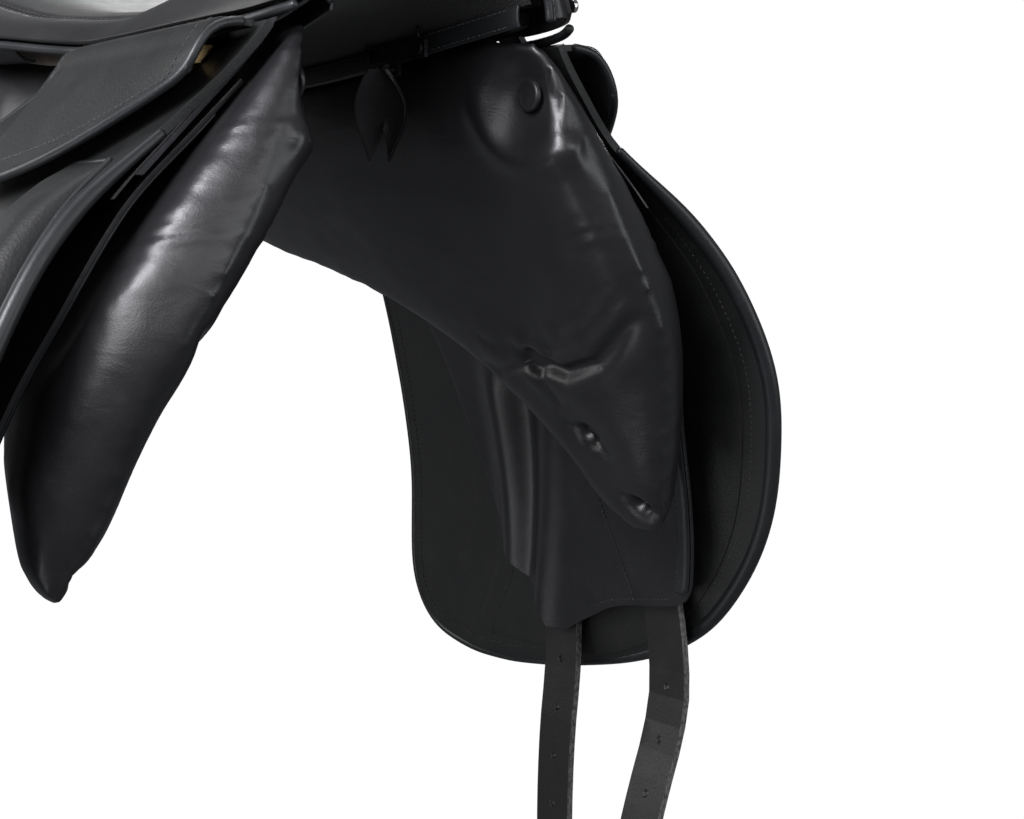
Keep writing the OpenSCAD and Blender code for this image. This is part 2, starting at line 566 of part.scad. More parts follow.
module gullet_wire_loop() {
  tube([for (a = [0 : 15 : 180]) [clip_x - 0.8, clip_y - rivet_dy * cos(a), clip_z + 8 + 22 * sin(a)]], 1, 6);
}

// The left side is drawn, and the right side is its mirror image
module placed(side) {
  if (side == "l") children();
  else mirror([1, 0, 0]) children();
}
leather = [0.09, 0.09, 0.1];
steel = [0.62, 0.63, 0.65];
gold = [0.8, 0.62, 0.36];
trim = [0.16, 0.16, 0.17];
strap = [0.2, 0.19, 0.19];
wood = "burlywood";
webbing = "wheat";

color(leather) seat_cover();
color("khaki") seat_foam();
color(trim) seat_welt();
color(leather) pommel_facing();
color(leather) cantle_facing();
color(gold) nameplate();
color(steel) head_plate();
color(wood) cantle_frame();
color(webbing) seat_web();
color(webbing) girth_web(front_y, front_web);  // girth_web_front
color(webbing) girth_web(rear_y, rear_web);  // girth_web_rear
color(steel) tree_rivets();
color(steel) saddle_nails();
color(steel) gullet_clip();
color(steel) gullet_rivets();
color(leather) gullet_tab();
color(steel) gullet_wire_loop();
color(steel) bar_rivets();
color(trim) panel_buttons();
color(trim) dee_chapes();
for (side = ["r", "l"]) placed(side) {
  color(wood) tree_rail();
  color(steel) tree_point();
  color(steel) spring_bar();
  color(leather) point_pocket();
  color(gold) stirrup_bar();
  color(gold) bar_catch();
  color(leather) panel();
  color("ivory") flocking();
  color(trim) channel_strip();
  color(leather) sweat_flap();
  color(trim) sweat_binding();
  color(leather) flap();
  color(trim) flap_roll();
  color(leather) thigh_block();
  color(trim) keeper();
  color(leather) skirt();
  color(strap) billet(front_y, front_hang);
  color(strap) billet(rear_y, rear_hang);
  color(steel) dee_ring();
}
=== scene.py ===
"""The looks of an English dressage saddle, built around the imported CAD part.

Lengths in the tables are millimetres, as in the part's source, and MM turns them into metres.
The left side (+X) is built, and the right side is its mirror image.
"""

import json
import math

import bmesh
import bpy
import numpy as np
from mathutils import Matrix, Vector
from mathutils.bvhtree import BVHTree


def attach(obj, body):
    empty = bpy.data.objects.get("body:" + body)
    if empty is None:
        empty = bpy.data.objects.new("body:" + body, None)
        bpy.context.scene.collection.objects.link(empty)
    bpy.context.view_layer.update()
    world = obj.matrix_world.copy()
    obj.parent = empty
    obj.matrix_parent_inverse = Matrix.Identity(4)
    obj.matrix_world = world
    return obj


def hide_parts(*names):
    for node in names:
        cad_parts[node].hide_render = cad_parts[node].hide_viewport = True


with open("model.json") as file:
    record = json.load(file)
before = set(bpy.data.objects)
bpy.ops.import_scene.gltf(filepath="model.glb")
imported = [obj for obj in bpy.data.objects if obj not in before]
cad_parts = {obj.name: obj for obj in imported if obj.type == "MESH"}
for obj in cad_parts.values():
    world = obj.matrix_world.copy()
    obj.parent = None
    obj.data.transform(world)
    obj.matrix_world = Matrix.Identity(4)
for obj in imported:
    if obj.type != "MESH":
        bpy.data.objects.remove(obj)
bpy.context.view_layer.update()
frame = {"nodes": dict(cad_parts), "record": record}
nodes = frame["nodes"]

MM = 0.001
LEFT, RIGHT = "l", "r"
SIDES = ((LEFT, 1), (RIGHT, -1))


# ---------------------------------------------------------------- smooth curves
def curve(table, t, column=1):
    """A smooth curve through the rows of a table; column 0 is the parameter."""
    rows = np.asarray(table, float)
    x, y = rows[:, 0], rows[:, column]
    before, after = np.maximum(np.arange(len(x)) - 1, 0), np.minimum(np.arange(len(x)) + 1, len(x) - 1)
    slope = (y[after] - y[before]) / (x[after] - x[before])
    t = np.asarray(t, float)
    i = np.clip(np.searchsorted(x, t, "right") - 1, 0, len(x) - 2)
    h = x[i + 1] - x[i]
    u = np.clip((t - x[i]) / h, 0, 1)
    start = (2 * u**3 - 3 * u**2 + 1) * y[i] + (u**3 - 2 * u**2 + u) * h * slope[i]
    return start + (3 * u**2 - 2 * u**3) * y[i + 1] + (u**3 - u**2) * h * slope[i + 1]


def smooth01(u):
    v = np.clip(u, 0, 1)
    return v * v * (3 - 2 * v)


def bell(d, width):
    return np.exp(-((d / width) ** 2))


# ---------------------------------------------------------------- the shape of the side
SIDE = [(-20, 69.5), (-4, 80), (31, 114), (67, 148), (120, 180), (172, 200), (244, 218), (340, 231),
        (420, 236)]
FLAP = [(-14, -209, -16), (10, -203, 6), (31, -197, 33), (50, -198, 56), (70, -201, 76), (98, -207, 96),
        (142, -210, 113), (174, -204, 120), (228, -184, 131), (267, -158, 142), (296, -125, 147),
        (318, -72, 140), (333, -5, 120), (340, 46, 84)]
FLARE = [(-14, 0), (30, 0), (70, 0.75), (98, 1), (185, 1), (230, 0.9), (298, 0.4), (340, 0.2)]
FLARE_OUT, FLARE_REACH = 15, 62
SWEAT = [(12, -195, 5), (30, -194, 22), (58, -191, 42), (105, -189, 47), (142, -177, 41), (174, -167, 33),
         (220, -160, 25), (252, -154, 16), (268, -148, 9), (275, -136, 0), (282, -90, -8), (294, -58, -15),
         (306, -34, -20)]
SKIRT = [(-204, -10, 1), (-194, -17, 1), (-170, -30, 1), (-138, -43, 1), (-100, -51, 1), (-65, -53, 0.95),
         (-52, -45, 0.8), (-44, -31, 0.7), (-37, -20, 0.65)]
SKIRT_BEND = [(0, 0, -3.5), (0.12, 9, -3), (0.25, 18, -4.5), (0.4, 25, -14)]
SKIRT_GAP = 17
STRIP = [(-212, 50, 22), (-180, 45, 18), (-150, 41, 14.5), (-96, 39.5, 9.5), (-31, 39.5, 6.5), (40, 39.5, 8),
         (110, 39.5, 18), (170, 40, 36), (222, 42, 58)]
SEAT = [(-226, 66, 96, 24, 2.6), (-214, 73, 101, 21, 2.6), (-190, 76, 97, 19, 2.5), (-160, 77, 82, 19, 2.3),
        (-110, 77, 61, 19, 2.2), (-60, 77, 47, 19, 2.2), (-20, 79, 41, 20, 2.2), (20, 99, 41, 25, 2.3),
        (60, 120, 46, 31, 2.4), (120, 144, 63, 54, 2.6), (170, 149, 86, 86, 2.6), (210, 136, 112, 114, 2.6),
        (236, 110, 128, 131, 2.6), (250, 76, 137, 139, 2.6), (257, 42, 141, 142, 2.6)]
CANTLE = [(20, 84, 12), (60, 96, 14), (100, 112, 26), (140, 124, 38), (175, 124, 50), (205, 118, 60),
          (228, 102, 68), (243, 76, 74), (252, 46, 78)]
BLOCK = [(46, 0.1), (54, 0.55), (72, 0.9), (104, 1), (156, 1), (192, 0.85), (212, 0.5), (224, 0.1)]
FLAP_T, SWEAT_T, SKIRT_T, COVER_T, WELT_R = 4.5, 2.5, 3.5, 2.5, 2.2
SWEAT_OFF = -14
TOP, FLAT_END, FLAP_END = -11, 290, 340
NOTCH_FRONT, NOTCH_REAR, NOTCH_FOOT, NOTCH_DEEP = -182, -62, 20, 40
KEEPER_Y, KEEPER_Z, KEEPER_LENGTH, KEEPER_HEIGHT = -20, -214, 74, 24
BLOCK_SET_BACK, BLOCK_WIDTH, BLOCK_RISE = 16, 46, 19
TAB_AXIS = (30.2, -128)
TAB_TURN = math.radians(42)
HINGE = (80, 14)


def side_x(z):
    return curve(SIDE, -z)


def flap_front(z):
    return curve(FLAP, -z, 1)


def flap_rear(z):
    return curve(FLAP, -z, 2)


def flap_x(y, z):
    q = np.clip((y - flap_front(z)) / FLARE_REACH, 0, 1)
    return side_x(z) + FLARE_OUT * curve(FLARE, -z) * (1 - q) ** 2


def seat_z(y, u):
    middle, edge, power = (curve(SEAT, y, c) for c in (2, 3, 4))
    return middle + (edge - middle) * np.abs(u) ** power


# ---------------------------------------------------------------- materials
def new_material(name):
    material = bpy.data.materials.new(name)
    material.use_nodes = True
    tree = material.node_tree
    return material, tree, tree.nodes["Principled BSDF"]


def add(tree, kind, **sockets):
    node = tree.nodes.new(kind)
    for key, value in sockets.items():
        node.inputs[key.replace("_", " ")].default_value = value
    return node


def ramp(tree, source, low, high, out_low, out_high):
    """A value from source, moved from one range to another."""
    node = tree.nodes.new("ShaderNodeMapRange")
    for k, value in enumerate((low, high, out_low, out_high)):
        node.inputs[k + 1].default_value = value
    tree.links.new(source, node.inputs[0])
    return node.outputs[0]


def mix_colour(tree, share, a, b):
    node = tree.nodes.new("ShaderNodeMix")
    node.data_type = "RGBA"
    for socket, value in ((6, a), (7, b)):
        if isinstance(value, bpy.types.NodeSocket):
            tree.links.new(value, node.inputs[socket])
        else:
            node.inputs[socket].default_value = (*value, 1)
    tree.links.new(share, node.inputs[0])
    return node.outputs[2]


def math_node(tree, operation, a, b=0.0):
    node = tree.nodes.new("ShaderNodeMath")
    node.operation = operation
    for socket, value in enumerate((a, b)):
        if isinstance(value, bpy.types.NodeSocket):
            tree.links.new(value, node.inputs[socket])
        else:
            node.inputs[socket].default_value = value
    return node.outputs[0]


def texture(tree, kind, scale, stretch=(1, 1, 1), **sockets):
    """A noise or voronoi texture over the piece's own frame, in metres, stretched along its axes."""
    coordinates = tree.nodes.new("ShaderNodeTexCoord")
    mapping = add(tree, "ShaderNodeMapping", Scale=stretch)
    tree.links.new(coordinates.outputs["Object"], mapping.inputs[0])
    node = add(tree, kind, Scale=scale, **sockets)
    tree.links.new(mapping.outputs[0], node.inputs["Vector"])
    return node.outputs[0]


def bump(tree, shader, height, distance, strength, below=None):
    node = add(tree, "ShaderNodeBump", Distance=distance, Strength=strength)
    tree.links.new(height, node.inputs["Height"])
    if below is not None:
        tree.links.new(below, node.inputs["Normal"])
    tree.links.new(node.outputs[0], shader.inputs["Normal"])
    return node.outputs[0]


def leather(name, colour, tint, rough, grain, relief, coat=0.0, wrinkle=0.0):
    """Leather with a cell grain of that size in metres, soft patches of colour, and fine wrinkles."""
    material, tree, shader = new_material(name)
    patches = texture(tree, "ShaderNodeTexNoise", 14, Detail=3.0, Roughness=0.6)
    cells = texture(tree, "ShaderNodeTexVoronoi", 1 / grain, Randomness=1.0)
    fine = texture(tree, "ShaderNodeTexNoise", 0.7 / grain, Detail=4.0, Roughness=0.65)
    rub = texture(tree, "ShaderNodeTexNoise", 55, Detail=5.0, Roughness=0.7)
    base = mix_colour(tree, ramp(tree, patches, 0.35, 0.68, 0, 1), colour, tint)
    dust = tuple(1.6 * c + 0.004 for c in tint)
    worn = mix_colour(tree, ramp(tree, rub, 0.58, 0.8, 0, 0.4), base, dust)
    tree.links.new(worn, shader.inputs["Base Color"])
    tree.links.new(ramp(tree, rub, 0.3, 0.75, rough - 0.05, rough + 0.09), shader.inputs["Roughness"])
    coarse_share = math_node(tree, "MULTIPLY", cells, 0.7)
    height = math_node(tree, "ADD", coarse_share, math_node(tree, "MULTIPLY", fine, 0.6))
    grained = bump(tree, shader, height, relief, 0.55)
    if wrinkle:
        lines = texture(tree, "ShaderNodeTexNoise", 60, (1, 0.35, 1.6), Detail=3.0, Distortion=1.2)
        bump(tree, shader, lines, wrinkle, 0.5, grained)
    shader.inputs["Specular IOR Level"].default_value = 0.5
    shader.inputs["Coat Weight"].default_value = coat
    shader.inputs["Coat Roughness"].default_value = 0.28
    return material


SCRATCH = 0.00002


def metal(name, colour, rough, metallic=1.0):
    material, tree, shader = new_material(name)
    fine = texture(tree, "ShaderNodeTexNoise", 900, (1, 0.12, 1), Detail=4.0)
    spots = texture(tree, "ShaderNodeTexNoise", 90, Detail=3.0)
    dull = tuple(0.72 * c for c in colour)
    spotted = mix_colour(tree, ramp(tree, spots, 0.4, 0.75, 0, 0.6), colour, dull)
    tree.links.new(spotted, shader.inputs["Base Color"])
    tree.links.new(ramp(tree, fine, 0.3, 0.7, rough * 0.8, rough * 1.4), shader.inputs["Roughness"])
    bump(tree, shader, fine, SCRATCH, 0.4)
    shader.inputs["Metallic"].default_value = metallic
    return material


def woven(name, colour, dark, pitch, rough=0.85):
    """A plain weave with threads of that pitch in metres."""
    material, tree, shader = new_material(name)
    coordinates = tree.nodes.new("ShaderNodeTexCoord")
    waves = []
    for direction in ("X", "Y"):
        node = add(tree, "ShaderNodeTexWave", Scale=1 / (2 * pitch) / math.pi, Distortion=0.6)
        node.bands_direction = direction
        tree.links.new(coordinates.outputs["Object"], node.inputs["Vector"])
        waves.append(node.outputs["Fac"])
    threads = math_node(tree, "MULTIPLY", *waves)
    tree.links.new(mix_colour(tree, threads, dark, colour), shader.inputs["Base Color"])
    shader.inputs["Roughness"].default_value = rough
    shader.inputs["Sheen Weight"].default_value = 0.2
    bump(tree, shader, threads, 0.0004, 0.7)
    return material


def wood(name):
    material, tree, shader = new_material(name)
    rings = texture(tree, "ShaderNodeTexNoise", 60, (6, 0.5, 6), Detail=6.0, Distortion=0.8)
    pale, dark = (0.045, 0.034, 0.026), (0.022, 0.017, 0.013)
    ringed = mix_colour(tree, ramp(tree, rings, 0.35, 0.7, 0, 1), pale, dark)
    tree.links.new(ringed, shader.inputs["Base Color"])
    tree.links.new(ramp(tree, rings, 0.3, 0.7, 0.45, 0.62), shader.inputs["Roughness"])
    bump(tree, shader, rings, 0.0003, 0.4)
    return material


def foam(name, colour, scale):
    material, tree, shader = new_material(name)
    holes = texture(tree, "ShaderNodeTexVoronoi", scale)
    pale = tuple(min(1, 1.15 * c) for c in colour)
    tree.links.new(mix_colour(tree, holes, colour, pale), shader.inputs["Base Color"])
    shader.inputs["Roughness"].default_value = 0.9
    bump(tree, shader, holes, 0.0006, 0.6)
    return material


def strap_leather(name):
    """Bridle leather: smooth faces, and a paler raw edge at both sides of a strap."""
    material = leather(name, (0.0115, 0.011, 0.011), (0.017, 0.0165, 0.016), 0.46, 0.0011, 0.00016, coat=0.05)
    tree = material.node_tree
    shader = tree.nodes["Principled BSDF"]
    under = shader.inputs["Base Color"].links[0].from_socket
    geometry = tree.nodes.new("ShaderNodeNewGeometry")
    split = tree.nodes.new("ShaderNodeSeparateXYZ")
    tree.links.new(geometry.outputs["True Normal"], split.inputs[0])
    sideways = math_node(tree, "ABSOLUTE", split.outputs[1])
    fibre = texture(tree, "ShaderNodeTexNoise", 700, (1, 1, 0.5), Detail=4.0)
    edges = ramp(tree, sideways, 0.35, 0.75, 0, 1)
    broken = math_node(tree, "MULTIPLY", edges, ramp(tree, fibre, 0.35, 0.6, 0.1, 0.9))
    raw_edge = (0.16, 0.155, 0.15)
    tree.links.new(mix_colour(tree, broken, under, raw_edge), shader.inputs["Base Color"])
    return material


MATERIALS = {
    "panel_leather": leather("panel_leather", (0.011, 0.011, 0.0125), (0.016, 0.016, 0.0175),
                             rough=0.35, grain=0.0008, relief=0.00007, coat=0.12, wrinkle=0.0005),
    "seat_leather": leather("seat_leather", (0.012, 0.012, 0.0125), (0.017, 0.017, 0.0175),
                            rough=0.4, grain=0.0012, relief=0.00012, coat=0.08),
    "grain_leather": leather("grain_leather", (0.0085, 0.009, 0.009), (0.013, 0.0135, 0.013),
                             rough=0.48, grain=0.0014, relief=0.00022),
    "trim_leather": leather("trim_leather", (0.011, 0.0125, 0.014), (0.016, 0.0175, 0.019),
                            rough=0.4, grain=0.0009, relief=0.0001, coat=0.1),
    "strap_leather": strap_leather("strap_leather"),
    "foam": foam("foam", (0.6, 0.53, 0.36), 700),
    "wool": foam("wool", (0.8, 0.76, 0.68), 300),
    "webbing": woven("webbing", (0.55, 0.5, 0.38), (0.3, 0.26, 0.18), 0.0011),
    "tree_wood": wood("tree_wood"),
    "tree_steel": metal("tree_steel", (0.05, 0.05, 0.055), 0.3, metallic=0.85),
    "gold_plate": metal("gold_plate", (0.86, 0.62, 0.3), 0.2),
    "bright_steel": metal("bright_steel", (0.78, 0.78, 0.8), 0.16),
}
THREAD = woven("thread", (0.05, 0.05, 0.052), (0.02, 0.02, 0.021), 0.0003, 0.7)
LINING = woven("lining", (0.009, 0.0095, 0.0095), (0.004, 0.0045, 0.0045), 0.0006)


# ---------------------------------------------------------------- mesh tools
def make(name, points, faces, material, body, replaces=()):
    """A piece from points in millimetres."""
    mesh = bpy.data.meshes.new(name)
    mesh.from_pydata((np.asarray(points, float).reshape(-1, 3) * MM).tolist(), [], [list(f) for f in faces])
    return place(mesh, name, material, body, replaces)


def place(mesh, name, material, body, replaces=()):
    """A piece from a mesh in metres, smooth shaded, on its body."""
    mesh.validate()
    tidy = bmesh.new()
    tidy.from_mesh(mesh)
    bmesh.ops.recalc_face_normals(tidy, faces=tidy.faces)
    tidy.to_mesh(mesh)
    tidy.free()
    mesh.materials.clear()
    mesh.materials.append(material)
    mesh.polygons.foreach_set("use_smooth", [True] * len(mesh.polygons))
    piece = bpy.data.objects.new(name, mesh)
    bpy.context.scene.collection.objects.link(piece)
    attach(piece, body)
    if replaces:
        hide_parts(*replaces)
    return piece


def applied(piece):
    """The piece with its modifiers turned into plain mesh."""
    bpy.context.view_layer.update()
    graph = bpy.context.evaluated_depsgraph_get()
    mesh = bpy.data.meshes.new_from_object(piece.evaluated_get(graph))
    piece.modifiers.clear()
    piece.data = mesh
    return piece


def grid_faces(rows, columns, wrap=False):
    across = columns if wrap else columns - 1
    return [(i * columns + j, i * columns + (j + 1) % columns, (i + 1) * columns + (j + 1) % columns,
             (i + 1) * columns + j) for i in range(rows - 1) for j in range(across)]


def rim(rows, columns):
    """The points round the edge of a grid, in order."""
    top = list(range(columns))
    right = [i * columns + columns - 1 for i in range(1, rows)]
    bottom = [(rows - 1) * columns + j for j in range(columns - 2, -1, -1)]
    left = [i * columns for i in range(rows - 2, 0, -1)]
    return top + right + bottom + left


def grid_normals(grid):
    """Unit normals of a grid of points, by differences along its rows and columns."""
    across = np.gradient(grid, axis=1)
    down = np.gradient(grid, axis=0)
    normal = np.cross(across, down)
    return normal / np.maximum(np.linalg.norm(normal, axis=2, keepdims=True), 1e-9)


def closed(top, base):
    """Points and faces of the solid between two grids of the same size."""
    rows, columns = top.shape[:2]
    count = rows * columns
    flat = grid_faces(rows, columns)
    border = rim(rows, columns)
    walls = [(a, b, b + count, a + count) for a, b in zip(border, border[1:] + border[:1])]
    faces = flat + [tuple(k + count for k in reversed(f)) for f in flat] + walls
    return np.concatenate([top.reshape(-1, 3), base.reshape(-1, 3)]), faces


def sheet(name, grid, thickness, material, body, replaces=(), edge=1.1):
    """A closed sheet of one thickness round a grid of points, with rounded edges."""
    half = grid_normals(grid) * thickness / 2
    points, faces = closed(grid + half, grid - half)
    piece = make(name, points, faces, material, body, replaces)
    rounding = piece.modifiers.new("rounding", "BEVEL")
    rounding.width = edge * MM
    rounding.segments = 3
    rounding.limit_method = "ANGLE"
    rounding.angle_limit = math.radians(50)
    return applied(piece)


def resampled(path, step):
    """Points at equal steps along a path."""
    path = np.asarray(path, float)
    length = np.concatenate([[0], np.cumsum(np.linalg.norm(np.diff(path, axis=0), axis=1))])
    count = max(int(round(length[-1] / step)), 2)
    at = np.linspace(0, length[-1], count + 1)
    return np.stack([np.interp(at, length, path[:, k]) for k in range(3)], axis=1)


def softened(path, rounds):
    path = np.array(path, float)
    for _ in range(rounds):
        path[1:-1] = 0.25 * path[:-2] + 0.5 * path[1:-1] + 0.25 * path[2:]
    return path


def directions(path):
    d = np.gradient(path, axis=0)
    return d / np.maximum(np.linalg.norm(d, axis=1, keepdims=True), 1e-9)


def tube(name, path, radius, material, body, replaces=(), sides=14):
    """A tube with round ends along a path; radius is one value or one for each point."""
    path = np.asarray(path, float)
    along = directions(path)
    radius = np.broadcast_to(np.asarray(radius, float), len(path)).copy()
    up = np.array([0.0, 0.0, 1.0]) if abs(along[0][2]) < 0.9 else np.array([0.0, 1.0, 0.0])
    rings = []
    stops = [(0, -0.85, 0.3), (0, -0.6, 0.72), (0, -0.25, 0.95)]
    stops += [(i, 0, 1) for i in range(len(path))]
    stops += [(len(path) - 1, 0.25, 0.95), (len(path) - 1, 0.6, 0.72), (len(path) - 1, 0.85, 0.3)]
    for i, shift, share in stops:
        up = up - along[i] * (up @ along[i])
        up /= np.linalg.norm(up)
        side = np.cross(along[i], up)
        angle = 2 * np.pi * np.arange(sides) / sides
        ring = np.outer(np.cos(angle), side) + np.outer(np.sin(angle), up)
        rings.append(path[i] + along[i] * radius[i] * shift + radius[i] * share * ring)
    faces = grid_faces(len(rings), sides, wrap=True)
    last = (len(rings) - 1) * sides
    faces += [tuple(range(sides - 1, -1, -1)), tuple(range(last, last + sides))]
    return make(name, np.concatenate(rings), faces, material, body, replaces)


STITCH_LENGTH, THREAD_R, STITCH_SIDES = 2.5, 0.34, 6


def stitches(name, path, outward, body, pitch=3.4):
    """A row of thread stitches along a path, each a small spindle bedded into the leather."""
    spots = resampled(path, pitch)
    along = directions(spots)
    outward = np.asarray(outward, float) / np.linalg.norm(outward)
    shape = [(-0.5, 0.25), (-0.36, 0.85), (0, 1.0), (0.36, 0.85), (0.5, 0.25)]
    points, faces = [], []
    for spot, way in zip(spots, along):
        side = np.cross(way, outward)
        side /= np.linalg.norm(side)
        up = np.cross(side, way)
        first = len(points)
        for share, width in shape:
            centre = spot + way * share * STITCH_LENGTH + up * THREAD_R * (0.35 - 1.1 * abs(share))
            for k in range(STITCH_SIDES):
                turn = 2 * math.pi * k / STITCH_SIDES
                points.append(centre + THREAD_R * width * (math.cos(turn) * side + math.sin(turn) * up))
        faces += [tuple(first + k for k in f) for f in grid_faces(len(shape), STITCH_SIDES, wrap=True)]
        last = first + (len(shape) - 1) * STITCH_SIDES
        faces.append(tuple(first + k for k in reversed(range(STITCH_SIDES))))
        faces.append(tuple(last + k for k in range(STITCH_SIDES)))
    return make(name, points, faces, THREAD, body)


def mirrored(grid, sign):
    out = np.array(grid, float)
    out[..., 0] *= sign
    return out if sign > 0 else out[:, ::-1] if out.ndim == 3 else out


def on_both_sides(build):
    for side, sign in SIDES:
        build(side, sign)


# ---------------------------------------------------------------- panels
BUTTON = (57.0, -203.0, -12.0)
BUTTON_SUNK = 5.2
TUFTS = ((-130, -139), (-153, -177), (-176, -212))
# Creases on the inner face: points (y, z), depth and width
CREASES = (
    (((-130, -139), (-155, -143), (-185, -137), (-210, -121), (-228, -108)), 5.0, 4.2),
    (((-150, -132), (-180, -127), (-205, -113), (-222, -100)), 1.8, 3.6),
    (((-165, -121), (-190, -114), (-214, -97)), 1.2, 3.2),
    (((-130, -139), (-112, -143), (-94, -146), (-78, -142)), 3.0, 4.0),
    (((-120, -131), (-104, -132), (-88, -127)), 1.2, 3.5),
    (((-153, -177), (-160, -184), (-170, -187)), 1.8, 3.4),
    (((-153, -177), (-143, -172), (-136, -172)), 1.6, 3.2),
    (((-176, -212), (-186, -216), (-194, -214)), 1.4, 3.2),
    (((-176, -212), (-168, -206), (-163, -206)), 1.3, 3.0),
    (((-133, -146), (-139, -155), (-143, -163)), 1.2, 3.4),
)


def distance_to_line(y, z, line):
    """The distance from each point to a bent line, and how far along it the nearest spot is, from 0 to 1."""
    line = np.asarray(line, float)
    best = np.full(y.shape, 1e9)
    share = np.zeros(y.shape)
    lengths = np.linalg.norm(np.diff(line, axis=0), axis=1)
    total = lengths.sum()
    done = 0.0
    for a, b, length in zip(line[:-1], line[1:], lengths):
        d = (b - a) / length
        t = np.clip((y - a[0]) * d[0] + (z - a[1]) * d[1], 0, length)
        gap = np.hypot(y - a[0] - t * d[0], z - a[1] - t * d[1])
        nearer = gap < best
        best = np.where(nearer, gap, best)
        share = np.where(nearer, (done + t) / total, share)
        done += length
    return best, share


def panel_relief(points, normals):
    """How far each point of a left panel moves outwards: crater, tufts, creases, puffs and wrinkles."""
    _, y, z = points.T
    inner = smooth01((-normals[:, 0] - 0.05) / 0.4)
    move = np.zeros(len(points))
    reach = np.hypot(y - BUTTON[1], (z - BUTTON[2]) * 0.95)
    lower = 0.5 + 0.5 * np.clip((BUTTON[2] - z) / 20, -1, 1)
    crater = -7.5 * (1 - smooth01((reach - 7.5) / (13 + 11 * lower)))
    lip = (1.0 + 2.2 * lower) * bell(reach - 30, 8)
    move += inner * (crater + lip) * smooth01((60 + z) / 20)
    for y0, z0 in TUFTS:
        reach = np.hypot(y - y0, (z - z0) * 1.25)
        slit = np.hypot((y - y0) / 1.9, z - z0)
        move += inner * (-3.4 * bell(reach, 15) - 4.5 * bell(reach, 6.5) - 4.0 * bell(slit, 2.2))
    for line, depth, width in CREASES:
        gap, share = distance_to_line(y, z, line)
        fade = np.sqrt(np.clip(1 - share, 0, 1)) * 0.85 + 0.15
        ends = 1 - 0.9 * smooth01((share - 0.8) / 0.2)
        fold = -bell(gap, width * 0.8) + 0.3 * bell(gap - 2.3 * width, width * 1.5)
        move += inner * depth * fade * ends * fold
    puff = bell(np.hypot(y + 165, (z + 158) * 1.2), 22) + bell(np.hypot(y + 190, z + 195), 22)
    move += inner * 2.2 * puff
    tip = smooth01((-190 - z) / 26) * smooth01((0.25 - normals[:, 0]) / 0.5)
    move += 2.0 * tip
    front = bell(y + 216, 13) * smooth01((-22 - z) / 14) * smooth01((z + 104) / 14)
    ripple = np.sin(z * 0.61 + 2.6 * np.sin(z * 0.17 + 0.06 * y) + 0.11 * y)
    ripple = ripple * (0.6 + 0.4 * np.sin(z * 0.23 + 1.0))
    move += 0.3 * front * ripple
    return move


def panel_shell():
    """The outer skin of the left CAD panel, evenly remeshed and smoothed."""
    source = bmesh.new()
    source.from_mesh(nodes["panel_l"].data)
    bmesh.ops.remove_doubles(source, verts=source.verts, dist=1e-6)
    seed = min(source.verts, key=lambda v: v.co.y)
    found, edge = {seed}, [seed]
    while edge:
        for link in edge.pop().link_edges:
            for v in link.verts:
                if v not in found:
                    found.add(v)
                    edge.append(v)
    bmesh.ops.delete(source, geom=[v for v in source.verts if v not in found], context="VERTS")
    mesh = bpy.data.meshes.new("panel_shell")
    source.to_mesh(mesh)
    source.free()
    shell = bpy.data.objects.new("panel_shell", mesh)
    bpy.context.scene.collection.objects.link(shell)
    remesh = shell.modifiers.new("remesh", "REMESH")
    remesh.mode = "VOXEL"
    remesh.voxel_size = 4 * MM
    smoothing = shell.modifiers.new("smoothing", "SMOOTH")
    smoothing.factor = 0.5
    smoothing.iterations = 9
    finer = shell.modifiers.new("finer", "SUBSURF")
    finer.levels = finer.render_levels = 1
    applied(shell)
    mesh = shell.data
    bpy.data.objects.remove(shell)
    return mesh


def vertex_arrays(mesh):
    points = np.zeros(len(mesh.vertices) * 3)
    mesh.vertices.foreach_get("co", points)
    normals = np.zeros(len(mesh.vertices) * 3)
    mesh.vertices.foreach_get("normal", normals)
    return points.reshape(-1, 3), normals.reshape(-1, 3)


CORE_SHRINK = 3.5
CORE_GAP = 1.5


def shrunk_core():
    """The wool core of the left panel, drawn in so that the tufts have room."""
    mesh = nodes["flocking_l"].data.copy()
    weld = bmesh.new()
    weld.from_mesh(mesh)
    bmesh.ops.remove_doubles(weld, verts=weld.verts, dist=1e-6)
    weld.to_mesh(mesh)
    weld.free()
    points, normals = vertex_arrays(mesh)
    mesh.vertices.foreach_set("co", (points - normals * CORE_SHRINK * MM).ravel())
    return mesh


def build_panels():
    mesh = panel_shell()
    core = shrunk_core()
    points, normals = vertex_arrays(mesh)
    move = panel_relief(points / MM, normals)
    tree = BVHTree.FromPolygons([v.co for v in core.vertices], [tuple(p.vertices) for p in core.polygons])
    for k in np.nonzero(move < -1)[0]:
        hit = tree.ray_cast(Vector(points[k]), -Vector(normals[k]), 0.03)
        if hit[0] is not None:
            move[k] = max(move[k], -max(hit[3] / MM - CORE_GAP, 0))
    points = points + normals * (move[:, None] * MM)
    cores, _ = vertex_arrays(core)
    mesh.vertices.foreach_set("co", points.ravel())
    for side, sign in SIDES:
        own = mesh.copy()
        own.vertices.foreach_set("co", (points * [sign, 1, 1]).ravel())
        panel = place(own, f"panel_skin_{side}", MATERIALS["panel_leather"], "root",
                      (f"panel_{side}",))
        inside = core.copy()
        inside.vertices.foreach_set("co", (cores * [sign, 1, 1]).ravel())
        place(inside, f"flocking_core_{side}", MATERIALS["wool"], "root", (f"flocking_{side}",))


